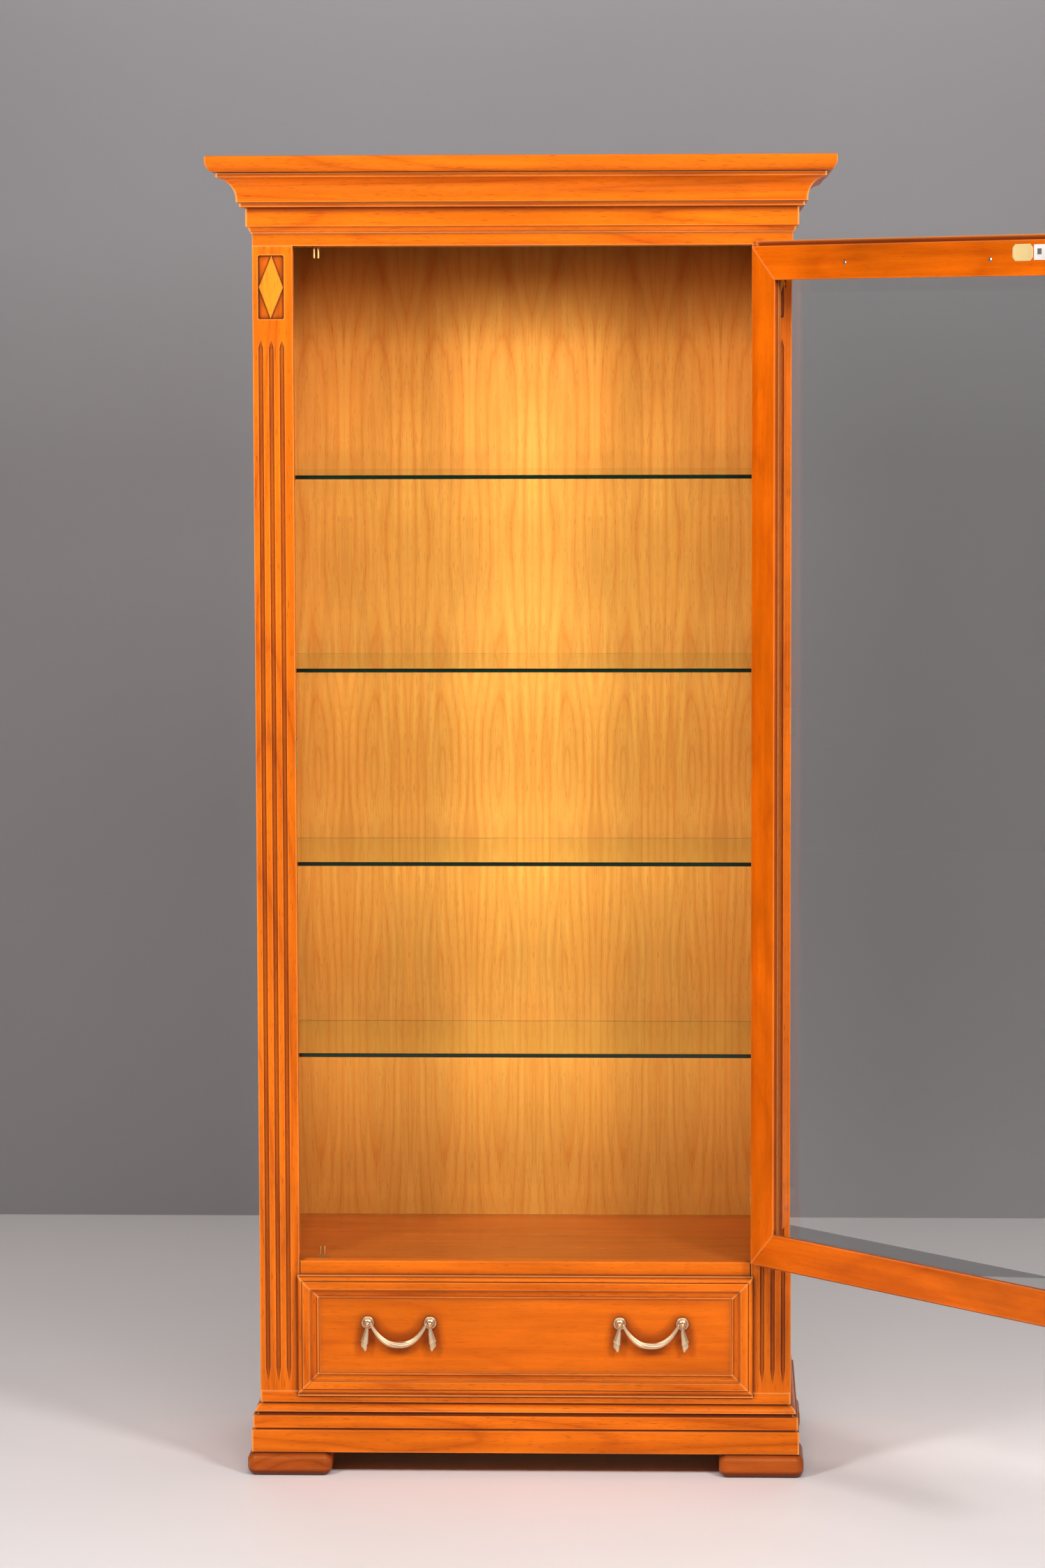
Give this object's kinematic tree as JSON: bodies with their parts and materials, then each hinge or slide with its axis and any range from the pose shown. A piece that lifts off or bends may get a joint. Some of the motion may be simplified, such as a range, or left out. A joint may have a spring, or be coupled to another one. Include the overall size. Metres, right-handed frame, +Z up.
{
  "type": "china cabinet",
  "caption": "Tall wooden china cabinet with a hinged bevelled-glass door, glass shelves, a moulded cornice and plinth, and a lipped drawer below with swag pulls.",
  "frame": {"origin": "on the floor, at the middle of the body's footprint", "axes": "+Z up, front faces -Y, +X to the right seen from the front"},
  "size_m": [1.2963, 0.9627, 2.014],
  "materials": {
    "cherry": "glossy orange cherry stain with a darker glaze in the recesses",
    "door_cherry": "glossy orange cherry stain, cloudy figure",
    "interior_veneer": "satin honey-coloured cherry veneer, cathedral grain",
    "display_floor_veneer": "satin red-brown veneer",
    "secondary_wood": "plain lacquered secondary wood",
    "shelf_glass": "clear float glass, green edges",
    "door_glass": "clear bevelled glass",
    "pull_brass": "pale antique satin brass",
    "hardware_brass": "lacquered brass",
    "light_trim": "satin metal trim ring",
    "light_lens": "frosted glass"
  },
  "bodies": {
    "cabinet": {"back_panel": "interior_veneer", "ceiling_board": "interior_veneer", "ceiling_light_lens": "light_lens", "ceiling_light_ring": "light_trim", "cornice_back_rail": "secondary_wood", "cornice_cove_front": "cherry", "cornice_cove_left": "cherry", "cornice_cove_right": "cherry", "cornice_frieze_front": "cherry", "cornice_frieze_left": "cherry", "cornice_frieze_right": "cherry", "cornice_top_board": "cherry", "display_floor": "display_floor_veneer", "drawer_deck": "secondary_wood", "drawer_guides": "secondary_wood", "floor_front_rail": "cherry", "foot_back_left": "cherry", "foot_back_right": "cherry", "foot_front_left": "cherry", "foot_front_right": "cherry", "glass_shelf_1": "shelf_glass", "glass_shelf_2": "shelf_glass", "glass_shelf_3": "shelf_glass", "glass_shelf_4": "shelf_glass", "hinge_leaves_cabinet": "hardware_brass", "hinge_pins": "hardware_brass", "lintel_rail": "cherry", "lock_forks": "hardware_brass", "lock_strike_plate": "hardware_brass", "pilaster_left": "cherry", "pilaster_lozenges": "cherry", "pilaster_right": "cherry", "plinth_back": "secondary_wood", "plinth_front": "cherry", "plinth_left": "cherry", "plinth_right": "cherry", "shelf_pins": "hardware_brass", "side_panel_left": "cherry", "side_panel_right": "cherry"},
    "door": {"door_glass": "door_glass", "door_rail_bottom": "door_cherry", "door_rail_top": "door_cherry", "door_stile_hinge": "door_cherry", "door_stile_latch": "door_cherry", "hinge_leaves_door": "hardware_brass", "lock_rod_guides": "hardware_brass", "lock_case": "hardware_brass", "lock_escutcheon": "hardware_brass"},
    "lock_rod": {"lock_rod": "hardware_brass"},
    "lock_key": {"door_key": "hardware_brass"},
    "drawer": {"drawer_back": "secondary_wood", "drawer_bottom": "secondary_wood", "drawer_front_frame": "cherry", "drawer_front_panel": "cherry", "drawer_side_left": "secondary_wood", "drawer_side_right": "secondary_wood", "pull_rosettes": "pull_brass", "pull_tassels": "pull_brass"},
    "left_bail": {"pull_bail_left": "pull_brass"},
    "right_bail": {"pull_bail_right": "pull_brass"}
  },
  "joints": [
    {"name": "door_swing", "type": "hinge", "parent": "cabinet", "child": "door", "pos_m": [0.3525, -0.216, 1.1], "axis": [0, 0, 1], "range_deg": [-131.4, 5.6]},
    {"name": "lock_rod_turn", "type": "hinge", "parent": "door", "child": "lock_rod", "pos_m": [0.7701, -0.73504, 1.111], "axis": [0, 0, -1], "range_deg": [0, 90]},
    {"name": "key_turn", "type": "hinge", "parent": "door", "child": "lock_key", "pos_m": [0.80498, -0.70429, 1.111], "axis": [0.7501, 0.6613, 0], "range_deg": [0, 180]},
    {"name": "drawer_slide", "type": "slide", "parent": "cabinet", "child": "drawer", "axis": [0, -1, 0], "range_m": [0, 0.29]},
    {"name": "left_bail_swing", "type": "hinge", "parent": "drawer", "child": "left_bail", "pos_m": [-0.1935, -0.23, 0.237], "axis": [-1, 0, 0], "range_deg": [0, 85]},
    {"name": "right_bail_swing", "type": "hinge", "parent": "drawer", "child": "right_bail", "pos_m": [0.1935, -0.23, 0.237], "axis": [-1, 0, 0], "range_deg": [0, 85]}
  ],
  "couplings": [
    {"joint": "key_turn", "follows": "lock_rod_turn", "ratio": 2}
  ]
}
